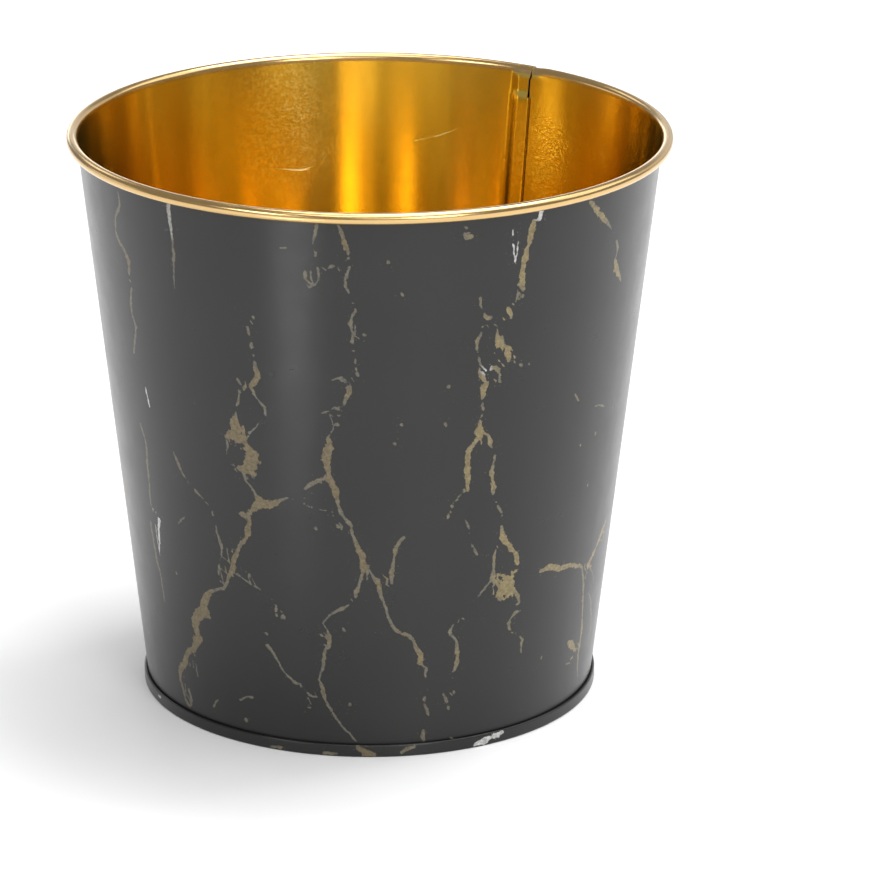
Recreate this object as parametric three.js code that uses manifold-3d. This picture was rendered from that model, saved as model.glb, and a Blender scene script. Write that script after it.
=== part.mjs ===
// A florist bucket in printed tinplate: one tapered body sheet, hooked to itself along a
// lock seam and rolled outward into a hollow rim, and a pressed base pan that is double
// seamed onto it, with a sealing compound in both seams.
// Millimetres, +Z up, origin at the middle of the ring that the bucket stands on.
import * as THREE from "three";
import { mergeVertices } from "three/addons/utils/BufferGeometryUtils.js";
import Module from "manifold-3d";

// Driving dimensions
const RIM_RADIUS = 82.5; // outermost radius of the rolled rim
const HEIGHT = 158.4; // foot to the top of the rim
const FOOT_WALL_RADIUS = 61.87; // middle of the wall, carried down to the floor line
const SHEET = 0.25; // tinplate thickness
const LAYER_GAP = 0.05; // space between two pressed layers
const ROUND_SEGMENTS = 72;

// Rolled rim
const ROLL_RADIUS = 1.55; // outside radius of the roll
const ROLL_END_DEG = -145; // where the roll's cut edge stops, measured round its centre
const ROLL_STEPS = 14;

// Double seam round the foot
const CHIME_HEIGHT = 3.45;
const CHIME_CORNER = 0.42; // bend radius of the two foot corners
const BODY_FOLD_FLOOR = 0.55; // underside of the body's fold
const BODY_HOOK_TIP = 2.7; // top of the body's turned-up edge
const COVER_HOOK_TIP = 1.3; // bottom of the pan's turned-down edge
const FOLD_STEPS = 6; // facets round a folded-back edge
const CORNER_STEPS = 3; // facets round a square corner

// Base pan
const PANEL_HEIGHT = 4.2; // underside of the panel above the floor line
const PANEL_CORNER = 0.8; // bend radius between the panel and its upright wall
const BEAD_INNER_RADIUS = 46; // where the stiffening bead starts to rise
const BEAD_FLAT = 4; // width of its flat crown
const BEAD_SLOPE = 1.2; // length of each sloping side
const BEAD_SLOPE_DEG = 40;
const BEAD_BEND = 0.3;

// Lock seam up the side
const SEAM_EDGE_DEG = 54.6; // azimuth of the folded edge
const SEAM_FACE = 3.65; // width of its flat inner face
const SEAM_JOGGLE = 2.5; // length of the slope down to the wall beside it
const SEAM_BOTTOM = 6;
const SEAM_TOP = 149.6;
const SEAM_JOIN = 0.6; // how far the hooked strips run into the wall round them
const HOOK_CLEARANCE = 0.2; // from a hook's cut edge to the fold it sits in
const SLIT_FROM = 0.1; // slit between the sheet's two edges above and below the hooks
const SLIT_WIDTH = 0.4;

// Sealing compound
const SEALANT_CLEARANCE = 0.05;
const FOOT_SEALANT_INSET = 0.12; // from the layers on either side of the foot's compound
const SEAM_SEALANT_WIDTH = 0.4;

const half = SHEET / 2;
const pitch = SHEET + LAYER_GAP; // from the middle of one layer to the middle of the next
const radians = THREE.MathUtils.degToRad;
const degrees = THREE.MathUtils.radToDeg;

// The middle line of the wall runs from the foot radius to touch the middle of the roll.
const rollCentre = { r: RIM_RADIUS - ROLL_RADIUS, z: HEIGHT - ROLL_RADIUS };
const rollMiddle = ROLL_RADIUS - half;
const wallSlope = slopeToRoll();
const wallLeanDeg = degrees(Math.atan(wallSlope));
const wallRadius = (z) => FOOT_WALL_RADIUS + wallSlope * z;
const chimeWallRadius = wallRadius(CHIME_HEIGHT);
const outerFoldAt = SEAM_FACE - 2 * pitch; // where the outer hook starts to fold back

function slopeToRoll() {
  const across = rollCentre.r - FOOT_WALL_RADIUS;
  const distance = Math.hypot(across, rollCentre.z);
  const lean = Math.atan2(across, rollCentre.z) - Math.asin(rollMiddle / distance);
  return Math.tan(lean);
}

// A bent strip of sheet seen edge-on. Its middle line is drawn with lines and bends, and
// its outline is that line moved half a sheet to either side.
class Strip {
  constructor(x, y, headingDeg) {
    this.x = x;
    this.y = y;
    this.heading = radians(headingDeg);
    this.left = [];
    this.right = [];
    this.mark();
  }
  mark() {
    const nx = -Math.sin(this.heading) * half;
    const ny = Math.cos(this.heading) * half;
    this.left.push(new THREE.Vector2(this.x + nx, this.y + ny));
    this.right.push(new THREE.Vector2(this.x - nx, this.y - ny));
  }
  line(length) {
    this.x += Math.cos(this.heading) * length;
    this.y += Math.sin(this.heading) * length;
    this.mark();
    return this;
  }
  // Turns left through a positive angle, or right through a negative one.
  bend(radius, angleDeg, steps) {
    const side = Math.sign(angleDeg) * radius;
    const centreX = this.x - side * Math.sin(this.heading);
    const centreY = this.y + side * Math.cos(this.heading);
    for (let i = 0; i < steps; i++) {
      this.heading += radians(angleDeg) / steps;
      this.x = centreX + side * Math.sin(this.heading);
      this.y = centreY - side * Math.cos(this.heading);
      this.mark();
    }
    return this;
  }
  outline() {
    return [...this.right, ...[...this.left].reverse()];
  }
}

function rectangle(x0, y0, x1, y1) {
  return [
    new THREE.Vector2(x0, y0),
    new THREE.Vector2(x1, y0),
    new THREE.Vector2(x1, y1),
    new THREE.Vector2(x0, y1),
  ];
}

function turned(outline) {
  return new THREE.LatheGeometry(outline, ROUND_SEGMENTS).rotateX(Math.PI / 2);
}

function turnedRing(outline) {
  return turned([...outline, outline[0].clone()]);
}

// A section across the lock seam, run up the side of the cone. Its x is the distance round
// the wall from the folded edge and its y the depth inward from the middle of the wall.
function upTheSide(outline, bottom, top) {
  const shape = new THREE.Shape(outline);
  const geometry = new THREE.ExtrudeGeometry(shape, { depth: top - bottom, bevelEnabled: false });
  const place = geometry.attributes.position;
  for (let i = 0; i < place.count; i++) {
    const z = bottom + place.getZ(i);
    const angle = radians(SEAM_EDGE_DEG) + place.getX(i) / wallRadius(z);
    const radius = wallRadius(z) - place.getY(i);
    place.setXYZ(i, radius * Math.cos(angle), radius * Math.sin(angle), z);
  }
  return geometry;
}

const wasm = await Module();
wasm.setup();

function solid(geometry) {
  const bare = geometry.clone();
  bare.deleteAttribute("normal");
  bare.deleteAttribute("uv");
  const merged = mergeVertices(bare);
  const mesh = new wasm.Mesh({
    numProp: 3,
    vertProperties: new Float32Array(merged.attributes.position.array),
    triVerts: new Uint32Array(merged.index.array),
  });
  return new wasm.Manifold(mesh);
}

function geometryOf(manifold) {
  const mesh = manifold.getMesh();
  const geometry = new THREE.BufferGeometry();
  geometry.setAttribute("position", new THREE.BufferAttribute(mesh.vertProperties, 3));
  geometry.setIndex(new THREE.BufferAttribute(mesh.triVerts, 1));
  geometry.computeVertexNormals();
  return geometry;
}

// Body hook, upright wall inside the foot's seam, leaning wall and rolled rim in one section.
function bodySection() {
  const foldMiddle = BODY_FOLD_FLOOR + half + pitch;
  const strip = new Strip(chimeWallRadius + 2 * pitch, BODY_HOOK_TIP, -90);
  strip.line(BODY_HOOK_TIP - foldMiddle).bend(pitch, -180, FOLD_STEPS);
  strip.line(CHIME_HEIGHT - foldMiddle).bend(half, -wallLeanDeg, 1);
  const touch = Math.sin(radians(wallLeanDeg)) * rollMiddle + rollCentre.z;
  strip.line((touch - strip.y) / Math.cos(radians(wallLeanDeg)));
  strip.bend(rollMiddle, ROLL_END_DEG - 180 + wallLeanDeg, ROLL_STEPS);
  return strip.outline();
}

// The sheet's plain edge: it stays level with the wall, then folds inward and back.
function outerHook() {
  const start = -2 * SEAM_JOIN;
  const strip = new Strip(start, 0, 0);
  strip.line(outerFoldAt - start).bend(pitch, 180, FOLD_STEPS);
  strip.line(outerFoldAt - pitch - HOOK_CLEARANCE);
  return strip.outline();
}

// The other edge: it steps inward over the first fold, crosses it and hooks back inside it.
function innerHook() {
  const rise = 3 * pitch;
  const slopeDeg = degrees(Math.atan2(rise, SEAM_JOGGLE));
  const strip = new Strip(SEAM_FACE + SEAM_JOGGLE + SEAM_JOIN, 0, 180);
  strip.line(SEAM_JOIN).bend(half, -slopeDeg, 1);
  strip.line((rise - 2 * strip.y) / Math.sin(radians(slopeDeg))).bend(half, slopeDeg, 1);
  strip.line(strip.x - pitch - half).bend(pitch, 180, FOLD_STEPS);
  strip.line(outerFoldAt - SEAM_SEALANT_WIDTH - strip.x);
  return strip.outline();
}

// The seam's lowest end, pressed solid so that it closes on the wall above the pan.
function pressedEnd() {
  return [
    new THREE.Vector2(half, -half),
    new THREE.Vector2(SEAM_FACE + SEAM_JOGGLE, -half),
    new THREE.Vector2(SEAM_FACE, 3 * pitch + half),
    new THREE.Vector2(half, 3 * pitch + half),
  ];
}

function bodySheet() {
  const cutDepth = 2 * ROLL_RADIUS + SHEET;
  const low = SEAM_BOTTOM + SEAM_JOIN;
  const high = SEAM_TOP - SEAM_JOIN;
  const opening = rectangle(-SEAM_JOIN, -cutDepth, SEAM_FACE + SEAM_JOGGLE + SHEET, cutDepth);
  const slit = rectangle(SLIT_FROM, -cutDepth, SLIT_FROM + SLIT_WIDTH, cutDepth);
  return geometryOf(
    solid(turnedRing(bodySection()))
      .subtract(solid(upTheSide(opening, low, high)))
      .subtract(solid(upTheSide(slit, high, HEIGHT + cutDepth)))
      .add(solid(upTheSide(outerHook(), SEAM_BOTTOM, SEAM_TOP)))
      .add(solid(upTheSide(innerHook(), SEAM_BOTTOM, SEAM_TOP)))
      .add(solid(upTheSide(pressedEnd(), SEAM_BOTTOM, low))),
  );
}

// The pan from its centre outward: beaded panel, upright wall, foot, skirt and cover hook.
function basePan() {
  const strip = new Strip(0, PANEL_HEIGHT + half, 0);
  strip.line(BEAD_INNER_RADIUS);
  strip.bend(BEAD_BEND, BEAD_SLOPE_DEG, 1).line(BEAD_SLOPE).bend(BEAD_BEND, -BEAD_SLOPE_DEG, 1);
  strip.line(BEAD_FLAT);
  strip.bend(BEAD_BEND, -BEAD_SLOPE_DEG, 1).line(BEAD_SLOPE).bend(BEAD_BEND, BEAD_SLOPE_DEG, 1);
  strip.line(chimeWallRadius - pitch - PANEL_CORNER - strip.x);
  strip.bend(PANEL_CORNER, -90, CORNER_STEPS).line(strip.y - CHIME_CORNER - half);
  strip.bend(CHIME_CORNER, 90, CORNER_STEPS);
  strip.line(chimeWallRadius + 3 * pitch - CHIME_CORNER - strip.x);
  strip.bend(CHIME_CORNER, 90, CORNER_STEPS).line(CHIME_HEIGHT - half - pitch - strip.y);
  strip.bend(pitch, 180, FOLD_STEPS).line(strip.y - COVER_HOOK_TIP);
  return turned(strip.outline());
}

// Compound squeezed between the pan's foot and the fold of the body.
function footSealant() {
  const inner = chimeWallRadius + FOOT_SEALANT_INSET;
  const outer = chimeWallRadius + 2 * pitch - FOOT_SEALANT_INSET;
  const low = SHEET + SEALANT_CLEARANCE;
  const high = BODY_FOLD_FLOOR - SEALANT_CLEARANCE;
  return turnedRing(rectangle(inner, low, outer, high));
}

// Compound in the pocket between the inner hook's cut edge and the fold that it sits in.
function seamSealant() {
  const from = outerFoldAt - SEAM_SEALANT_WIDTH + SEALANT_CLEARANCE;
  const outline = rectangle(from, pitch - half, outerFoldAt, pitch + half);
  return upTheSide(outline, SEAM_BOTTOM + SEAM_JOIN + SEALANT_CLEARANCE, SEAM_TOP);
}

function piece(name, geometry, colour, roughness, metalness) {
  const material = new THREE.MeshStandardMaterial({ color: colour, roughness, metalness });
  const mesh = new THREE.Mesh(geometry, material);
  mesh.name = name;
  return mesh;
}

const bucket = new THREE.Group();
bucket.add(
  piece("body_sheet", bodySheet(), 0x2e2d2b, 0.38, 0.4),
  piece("base_pan", basePan(), 0x34322f, 0.38, 0.4),
  piece("foot_sealant", footSealant(), 0x8f887a, 0.8, 0),
  piece("seam_sealant", seamSealant(), 0x8f887a, 0.8, 0),
);

export default bucket;
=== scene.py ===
"""A tinplate florist bucket: black marble print outside, gold lacquer inside.

The body and the base pan are each drawn as a bent sheet seen edge-on, carried round the
axis and given the sheet's thickness. Its gold side, its printed side, its cut edges and
the gold side where it is rolled into the rim have a material each. The marble veins and the
scratches are strokes laid on the unrolled wall. Each point of the sheet holds its offset
from the nearest stroke, and the material gives a vein its ragged edge. Lengths are in
millimetres until a mesh is made, except in the studio.
"""
import math
import random

import bpy
import numpy as np
from mathutils import Euler, Matrix, Vector


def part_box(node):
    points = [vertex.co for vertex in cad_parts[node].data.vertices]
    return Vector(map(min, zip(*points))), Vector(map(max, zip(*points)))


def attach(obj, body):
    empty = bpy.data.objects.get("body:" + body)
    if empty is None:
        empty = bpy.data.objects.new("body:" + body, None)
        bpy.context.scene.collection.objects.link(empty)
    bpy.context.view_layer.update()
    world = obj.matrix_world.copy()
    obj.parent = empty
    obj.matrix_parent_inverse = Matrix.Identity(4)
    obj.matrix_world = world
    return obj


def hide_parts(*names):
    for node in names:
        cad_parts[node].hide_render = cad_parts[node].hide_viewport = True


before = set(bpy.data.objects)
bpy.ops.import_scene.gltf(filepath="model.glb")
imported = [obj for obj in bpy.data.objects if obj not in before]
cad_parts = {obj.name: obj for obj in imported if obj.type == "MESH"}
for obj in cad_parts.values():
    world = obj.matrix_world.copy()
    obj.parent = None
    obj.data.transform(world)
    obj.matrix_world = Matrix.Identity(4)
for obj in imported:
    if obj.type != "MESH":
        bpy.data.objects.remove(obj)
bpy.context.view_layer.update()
MM = 0.001

# ---------------------------------------------------------------- sizes, from the frame
_, body_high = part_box("body_sheet")
_, pan_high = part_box("base_pan")
RIM_RADIUS = body_high.x / MM
HEIGHT = body_high.z / MM
CHIME_RADIUS = pan_high.x / MM

SHEET = 0.25
HALF = SHEET / 2
PITCH = SHEET + 0.05  # from the middle of one pressed layer to the next
ROLL_RADIUS = 1.55
ROLL_SWEEP_DEG = 311
CHIME_HEIGHT = 3.45
CHIME_CORNER = 0.42
PANEL_HEIGHT = 4.2
WALL_AT_CHIME = CHIME_RADIUS - HALF - 3 * PITCH

SEAM_DEG = 54.6  # azimuth of the lock seam's folded edge
SEAM_FACE = 3.65  # width of the folded layers
SEAM_JOGGLE = 3.5  # width over which the wall beside them eases back
SEAM_BOTTOM = 5.2
SEAM_TOP = 149.6
SWAGE_FROM, SWAGE_MIDDLE, SWAGE_TO = 5.8, 6.6, 7.7  # shallow groove beside the seam
SWAGE_DEPTH = 0.05
ROLL_START = 155.5  # above this the sheet's two edges meet in the rim
ROLL_TAKES_UP = 158
LAP = 1.1 * PITCH  # in the rim, the right-hand edge stands outside the left by this
ROLLED_FROM = HEIGHT - 2.7  # gold above this has the rim's finish, with painted shade


# ---------------------------------------------------------------- sheet seen edge-on
class Section:
    """The middle line of a bent sheet: (x, y, heading) at each station.

    The gold side is on the left of the heading.
    """

    def __init__(self, x, y, heading_deg):
        self.stations = [(x, y, math.radians(heading_deg))]

    def line(self, length, steps=1):
        x, y, heading = self.stations[-1]
        for i in range(1, steps + 1):
            done = length * i / steps
            place = (x + math.cos(heading) * done, y + math.sin(heading) * done, heading)
            self.stations.append(place)
        return self

    def bend(self, radius, angle_deg, steps):
        """Left for a positive angle, right for a negative one."""
        x, y, start = self.stations[-1]
        side = math.copysign(radius, angle_deg)
        centre_x = x - side * math.sin(start)
        centre_y = y + side * math.cos(start)
        for i in range(1, steps + 1):
            heading = start + math.radians(angle_deg) * i / steps
            x = centre_x + side * math.sin(heading)
            y = centre_y - side * math.cos(heading)
            self.stations.append((x, y, heading))
        return self

    @property
    def x(self):
        return self.stations[-1][0]

    @property
    def y(self):
        return self.stations[-1][1]


def smooth(value, low, high):
    """0 below low, 1 above high, and a smooth rise between."""
    t = min(max((value - low) / (high - low), 0), 1)
    return t * t * (3 - 2 * t)


# ---------------------------------------------------------------- meshes
GOLD_SLOT, PRINTED_SLOT, CUT_SLOT, ROLLED_SLOT = range(4)


def thicken(name, points, quads, fields, materials):
    """A closed sheet from the quads of its middle surface, whose normals are the gold side.

    fields maps an attribute's name to its vector at each point; materials has one for
    each of the four slots.
    """
    middle = bpy.data.meshes.new(name + "_middle")
    middle.from_pydata([tuple(p) for p in points], [], [tuple(q) for q in quads])
    normals = np.empty(len(points) * 3)
    middle.vertex_normals.foreach_get("vector", normals)
    normals = normals.reshape(-1, 3)
    bpy.data.meshes.remove(middle)

    points = np.asarray(points)
    count = len(points)
    both = np.vstack((points + normals * HALF, points - normals * HALF)) * MM
    edges = {}
    for quad in quads:
        for a, b in zip(quad, quad[1:] + quad[:1]):
            edges[(a, b)] = True
    border = [(a, b) for (a, b) in edges if (b, a) not in edges]
    gold = [tuple(q) for q in quads]
    printed = [tuple(v + count for v in reversed(q)) for q in quads]
    sheared = [(b, a, a + count, b + count) for a, b in border]

    mesh = bpy.data.meshes.new(name)
    mesh.from_pydata(both, [], gold + printed + sheared)
    rolled = [min(points[v][2] for v in quad) > ROLLED_FROM for quad in quads]
    slots = [ROLLED_SLOT if roll else GOLD_SLOT for roll in rolled]
    slots += [PRINTED_SLOT] * len(printed) + [CUT_SLOT] * len(sheared)
    mesh.polygons.foreach_set("material_index", slots)
    mesh.shade_smooth()
    cut = {tuple(sorted(e)) for a, b in border for e in ((a, b), (a + count, b + count))}
    sharp = [tuple(sorted(e.vertices)) in cut for e in mesh.edges]
    mesh.attributes.new("sharp_edge", "BOOLEAN", "EDGE").data.foreach_set("value", sharp)
    for field, values in fields.items():
        made = mesh.attributes.new(field, "FLOAT_VECTOR", "POINT")
        made.data.foreach_set("vector", np.concatenate((values, values)).ravel())
    for material in materials:
        mesh.materials.append(material)
    piece = bpy.data.objects.new(name, mesh)
    bpy.context.scene.collection.objects.link(piece)
    return piece


def grid_quads(rows):
    """Quads between rows of vertex numbers; None marks a place without a vertex."""
    quads = []
    for low, high in zip(rows, rows[1:]):
        for a, b, c, d in zip(low, low[1:], high[1:], high):
            if None not in (a, b, c, d):
                quads.append([a, d, c, b])
    return quads


# ---------------------------------------------------------------- body sheet
ROLL_MIDDLE = ROLL_RADIUS - HALF
ROLL_CENTRE = (RIM_RADIUS - ROLL_RADIUS, HEIGHT - ROLL_RADIUS)


def wall_lean():
    """Angle of the wall from upright, so that it runs from the chime to touch the roll."""
    across = ROLL_CENTRE[0] - WALL_AT_CHIME
    rise = ROLL_CENTRE[1] - CHIME_HEIGHT
    return math.atan2(across, rise) - math.asin(ROLL_MIDDLE / math.hypot(across, rise))


LEAN = wall_lean()
HOOK_TOP = 2.7  # of the body hook in the double seam
HOOK_BOTTOM = 0.55
WALL_BEND = 0.4
IN_ROLL_BELOW = 0.8  # radians; the sheet's heading is below this all round the roll


def body_section():
    """Body hook, upright wall, leaning wall and rolled rim."""
    fold = HOOK_BOTTOM + HALF + PITCH
    section = Section(WALL_AT_CHIME + 2 * PITCH, HOOK_TOP, 270)
    section.line(HOOK_TOP - fold, 2).bend(PITCH, -180, 8).line(CHIME_HEIGHT - fold, 2)
    section.bend(WALL_BEND, -math.degrees(LEAN), 1)
    touch = ROLL_CENTRE[1] + math.sin(LEAN) * ROLL_MIDDLE
    for height, steps in ((SEAM_BOTTOM, 1), (SEAM_TOP, 84), (ROLL_START, 8), (touch, 2)):
        section.line((height - section.y) / math.cos(LEAN), steps)
    section.bend(ROLL_MIDDLE, math.degrees(LEAN) - ROLL_SWEEP_DEG, 26)
    return section.stations


OUTER_FROM = 0.1  # the outer hook carries on from the wall's right-hand side here
INNER_FROM = 0.6  # the inner hook carries on from the wall's left-hand side here
OUTER_TO = 0.5  # where the outer hook's folded layer is cut off
INNER_LENGTH = 2.25  # of the inner hook's folded layer


def seam_hooks():
    """The lock seam's outer hook and inner hook, each from the wall to its cut edge.

    A hook is a list of (x along the wall, depth in from it, heading).
    """
    fold_at = SEAM_FACE - 2 * PITCH
    outer = Section(OUTER_FROM, 0, 0)
    outer.line(fold_at - OUTER_FROM, 4).bend(PITCH, 180, 8).line(fold_at - OUTER_TO, 3)
    inner = Section(INNER_FROM, 3 * PITCH, 180)
    inner.line(INNER_FROM - PITCH - HALF, 1).bend(PITCH, 180, 8).line(INNER_LENGTH, 3)
    return outer.stations[1:], inner.stations[1:]


# Columns of points beside the seam's folded edge, as distances along the wall
RIGHT_X = (-0.5, OUTER_FROM)
LEFT_X = (INNER_FROM, 1.2, 2.0, 2.8, 3.3, 3.55, 3.8, 4.1, 4.4, 4.7, 5.0, 5.4, 5.8, 6.2, 6.6, 7.1, 7.7)
WALL_COLUMNS = 330
WALL_FROM_DEG = 6.5
WALL_TO_DEG = 359
FLAP_COLUMNS = 3  # columns of the outer hook that carry on, unfolded, above the seam
GAP_CLOSES = 0.35  # beyond the seam's ends the left-hand side comes this much nearer


def joggle_left(x, z):
    """How far the left-hand side of the seam stands in from the wall.

    Above the seam it eases back by one layer, and the rim takes up the rest.
    """
    beside = 1 - smooth(x, SEAM_FACE - 0.15, SEAM_FACE + SEAM_JOGGLE)
    groove = smooth(x, SWAGE_FROM, SWAGE_MIDDLE) - smooth(x, SWAGE_MIDDLE, SWAGE_TO)
    swage = SWAGE_DEPTH * groove
    above = smooth(z, SEAM_TOP - 0.2, SEAM_TOP + 1.8)
    layers = 3 - above - 2 * smooth(z, ROLL_START, ROLL_TAKES_UP)
    in_seam = smooth(z, SEAM_BOTTOM - 0.7, SEAM_BOTTOM)
    return in_seam * (layers * PITCH * beside + swage * (1 - smooth(z, SEAM_TOP, ROLL_START)))


def joggle_right(x, z):
    """In the rim, where the two sides meet, the right-hand side laps outside the left."""
    return -LAP * smooth(x, -4.5, -0.5) * smooth(z, ROLL_START, ROLL_TAKES_UP)


def body_points():
    """Points, quads and the (azimuth from the front, height) of each point."""
    outer, inner = seam_hooks()
    wall = np.linspace(WALL_FROM_DEG, WALL_TO_DEG, WALL_COLUMNS)
    points, places, rows = [], [], []

    def add(row, station, angle, depth):
        r, z, heading = station
        reach = r - math.sin(heading) * depth
        height = z + math.cos(heading) * depth
        points.append((reach * math.cos(angle), reach * math.sin(angle), height))
        front = (math.degrees(angle) + 90 + 180) % 360 - 180
        places.append((front, z))
        row.append(len(points) - 1)

    edge = math.radians(SEAM_DEG)
    for station in body_section():
        r, z, heading = station
        hooked = SEAM_BOTTOM - 0.01 < z < SEAM_TOP + 0.01
        # All of the roll counts as the top of the wall.
        height = HEIGHT if heading < IN_ROLL_BELOW else z
        near_rim = smooth(height, ROLL_START - 0.6, ROLL_START)
        near_foot = 1 - smooth(height, SEAM_BOTTOM - 1, SEAM_BOTTOM)
        closed = max(near_rim, near_foot)
        row = []
        for x, depth, _ in reversed(inner):
            if hooked:
                add(row, station, edge + x / r, depth)
            else:
                row.append(None)
        for x in LEFT_X:
            shifted = x - GAP_CLOSES * closed * (1 - smooth(x, INNER_FROM, 2))
            add(row, station, edge + shifted / r, joggle_left(x, height))
        for degrees in wall:
            from_edge = math.radians(degrees - 360) * r
            add(row, station, edge + math.radians(degrees), joggle_right(from_edge, height))
        for x in RIGHT_X:
            add(row, station, edge + math.tau + x / r, joggle_right(x, height))
        for i, (x, depth, _) in enumerate(outer):
            if hooked:
                add(row, station, edge + math.tau + x / r, depth)
            elif height > SEAM_TOP and i < FLAP_COLUMNS:
                add(row, station, edge + math.tau + x / r, joggle_right(x, height))
            else:
                row.append(None)
        rows.append(row)
    return points, grid_quads(rows), places


# ---------------------------------------------------------------- base pan
INNERMOST_RING = 0.5  # radius of the first ring of points, round the middle one
BEAD_FROM = 46  # radius where the flat middle of the panel ends and the bead begins
BEAD_WIDTH = 4
BEAD_BEND = 0.6
BEAD_SLOPE = 0.9  # length of its sloping sides
BEAD_SLOPE_DEG = 40
PANEL_CORNER = 0.8
COVER_HOOK_BOTTOM = 1.3


def pan_section():
    """From the middle outward: beaded panel, upright wall, foot, skirt and cover hook."""
    section = Section(INNERMOST_RING, PANEL_HEIGHT + HALF, 0)
    section.line(BEAD_FROM - INNERMOST_RING, 14)
    for slope in (BEAD_SLOPE_DEG, -BEAD_SLOPE_DEG):
        section.bend(BEAD_BEND, slope, 4).line(BEAD_SLOPE, 2).bend(BEAD_BEND, -slope, 4)
        if slope > 0:
            section.line(BEAD_WIDTH, 3)
    to_corner = WALL_AT_CHIME - PITCH - PANEL_CORNER - section.x
    section.line(to_corner, 5).bend(PANEL_CORNER, -90, 8)
    section.line(section.y - CHIME_CORNER - HALF, 3).bend(CHIME_CORNER, 90, 8)
    section.line(WALL_AT_CHIME + 3 * PITCH - CHIME_CORNER - section.x, 1)
    section.bend(CHIME_CORNER, 90, 8)
    section.line(CHIME_HEIGHT - HALF - PITCH - section.y, 4).bend(PITCH, 180, 10)
    section.line(section.y - COVER_HOOK_BOTTOM, 2)
    return section.stations


PAN_COLUMNS = 320
FAR_BELOW = -20  # height given to points that carry no print, out of reach of every vein


def pan_points():
    """Points, quads and places, as for the body; only the skirt outside carries print."""
    points = [(0, 0, PANEL_HEIGHT + HALF)]
    places = [(0, FAR_BELOW)]
    quads, last = [], None
    for r, z, _ in pan_section():
        row = []
        for i in range(PAN_COLUMNS):
            angle = math.tau * i / PAN_COLUMNS
            points.append((r * math.cos(angle), r * math.sin(angle), z))
            front = (math.degrees(angle) + 270) % 360 - 180
            places.append((front, z if r > WALL_AT_CHIME else FAR_BELOW))
            row.append(len(points) - 1)
        row.append(row[0])
        if last is None:
            quads += [[0, a, b] for a, b in zip(row, row[1:])]
        else:
            quads += [[a, d, c, b] for a, b, c, d in zip(last, last[1:], row[1:], row)]
        last = row
    return points, quads, places


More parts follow.
